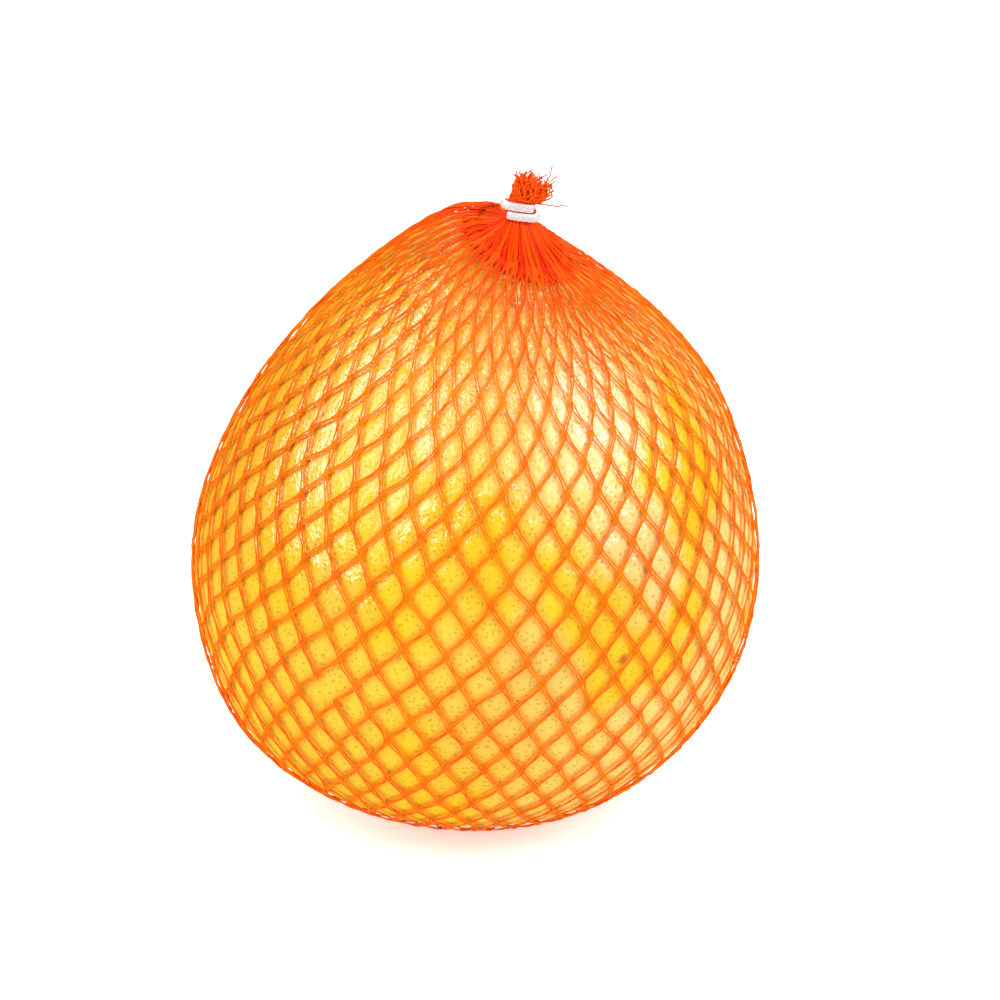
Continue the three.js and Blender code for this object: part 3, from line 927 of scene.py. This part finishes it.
def net_material():
    """Orange plastic thread, painted deeper and redder towards the neck and in its creases, as painted shade
    of the dense, folded net.
    """
    material, nodes, links, shader = new_material("net")
    where = nodes.new("ShaderNodeTexCoord").outputs["Object"]
    off_neck = distance_to(nodes, links, where, NECK_FOOT)
    open_mesh = spread(nodes, links, off_neck, low=8 * MM, high=50 * MM)
    thread = spread(nodes, links, noise(nodes, links, where, scale=240, detail=2), low=0.3, high=0.7)
    orange = blend(nodes, links, thread, DEEP_THREAD, LIGHT_THREAD)
    # Painted shade: redder thread towards the neck, where the net is dense.
    colour = blend(nodes, links, open_mesh, GATHERED_SHADE_THREAD, orange)
    # Painted shade in the creases, from the marks of each piece.
    links.new(blend(nodes, links, mark(nodes), colour, CREASE_SHADE_THREAD), shader.inputs["Base Color"])
    shader.inputs["Roughness"].default_value = 0.32
    shader.inputs["Specular IOR Level"].default_value = 0.12
    twist = nodes.new("ShaderNodeTexWave")
    twist.inputs["Scale"].default_value = 700
    twist.inputs["Distortion"].default_value = 6
    links.new(where, twist.inputs["Vector"])
    links.new(bump(nodes, links, twist.outputs["Fac"], depth=0.05), shader.inputs["Normal"])
    return material


def clip_material():
    """Satin aluminium wire with faint drawing marks."""
    material, nodes, links, shader = new_material("clip")
    where = nodes.new("ShaderNodeTexCoord").outputs["Object"]
    shader.inputs["Metallic"].default_value = 0.45
    marks = noise(nodes, links, where, scale=1400, detail=3)
    tone = blend(nodes, links, spread(nodes, links, marks, low=0.3, high=0.7), CLIP_GREY, CLIP_WHITE)
    links.new(tone, shader.inputs["Base Color"])
    rough = spread(nodes, links, marks, low=0.3, high=0.7, to_low=0.22, to_high=0.38)
    links.new(rough, shader.inputs["Roughness"])
    links.new(bump(nodes, links, marks, depth=0.01), shader.inputs["Normal"])
    return material


def floor_material():
    material, nodes, links, shader = new_material("floor")
    where = nodes.new("ShaderNodeTexCoord").outputs["Object"]
    mottle = noise(nodes, links, where, scale=3, detail=2)
    links.new(blend(nodes, links, mottle, FLOOR_GREY, FLOOR_WHITE), shader.inputs["Base Color"])
    shader.inputs["Roughness"].default_value = 0.8
    shader.inputs["Specular IOR Level"].default_value = 0.2
    shader.inputs["Emission Color"].default_value = WHITE
    shader.inputs["Emission Strength"].default_value = FLOOR_GLOW
    return material


def make_floor():
    corners = [(x * FLOOR_HALF, y * FLOOR_HALF, 0) for x, y in ((-1, -1), (1, -1), (1, 1), (-1, 1))]
    mesh = bpy.data.meshes.new("floor")
    mesh.from_pydata((np.array(corners) * MM).tolist(), [], [(0, 1, 2, 3)])
    mesh.materials.append(floor_material())
    floor = bpy.data.objects.new("floor", mesh)
    bpy.context.scene.collection.objects.link(floor)
    floor.visible_glossy = False


def make_light(name, azimuth, elevation, size, watts):
    """A softbox that faces the fruit. Azimuth 0 is the front, and positive is to the right."""
    light = bpy.data.lights.new(name, "AREA")
    light.shape = "RECTANGLE"
    light.size, light.size_y = size[0] * MM, size[1] * MM
    light.energy = watts
    lamp = bpy.data.objects.new(name, light)
    turn = math.radians(azimuth)
    rise = math.radians(elevation)
    middle = Vector((0, 0, AIM_HEIGHT * MM))
    away = Vector((math.sin(turn) * math.cos(rise), -math.cos(turn) * math.cos(rise), math.sin(rise)))
    lamp.location = middle + away * LIGHT_DISTANCE * MM
    lamp.rotation_euler = away.to_track_quat("Z", "Y").to_euler()
    bpy.context.scene.collection.objects.link(lamp)
    return lamp


def make_studio():
    world = bpy.data.worlds.new("studio")
    world.use_nodes = True
    background = world.node_tree.nodes["Background"]
    background.inputs["Color"].default_value = WHITE
    background.inputs["Strength"].default_value = WORLD_STRENGTH
    world.cycles_visibility.glossy = False
    bpy.context.scene.world = world
    make_light("softbox_left", azimuth=-66, elevation=38, size=SOFTBOX_SIZE, watts=22.5)
    make_light("softbox_right", azimuth=68, elevation=37, size=SOFTBOX_SIZE, watts=23.5)
    fill = make_light("fill_above", azimuth=12, elevation=64, size=FILL_SIZE, watts=9)
    fill.visible_glossy = False
    make_light("softbox_back", azimuth=172, elevation=34, size=SOFTBOX_SIZE, watts=14)
    bpy.context.scene.view_settings.view_transform = "Standard"


def make_camera():
    """The camera at the photograph's angle, with the belly at its pixel there."""
    elevation = math.radians(CAMERA_ELEVATION)
    distance = MM_A_PIXEL * FRAME_PIXELS * LENS / SENSOR
    belly = Vector((0, 0, BELLY_HEIGHT))
    back = Vector((0, -math.cos(elevation), math.sin(elevation)))
    right = Vector((1, 0, 0))
    up = right.cross(-back)
    aside = (FRAME_PIXELS / 2 - BELLY_PIXEL[0]) * MM_A_PIXEL
    above = (BELLY_PIXEL[1] - FRAME_PIXELS / 2) * MM_A_PIXEL
    place = belly + back * distance
    aim = belly + right * aside + up * above
    data = bpy.data.cameras.new("camera")
    data.lens = LENS
    data.sensor_width = SENSOR
    camera = bpy.data.objects.new("camera", data)
    camera.location = place * MM
    camera.rotation_euler = (aim - place).to_track_quat("-Z", "Y").to_euler()
    bpy.context.scene.collection.objects.link(camera)
    bpy.context.scene.camera = camera


net_look = net_material()
make_rind(rind_material())
make_strands("net_strands_left", slant=-1, ease=0.35, width=0.8, parting_at_knot=0.16, material=net_look)
make_strands("net_strands_right", slant=1, ease=0.2, width=1.0, parting_at_knot=0.3, material=net_look)
make_knots(net_look)
make_neck(net_look)
make_tail(net_look)
make_pad(net_look)
make_clip(clip_material())
make_floor()
make_studio()
make_camera()
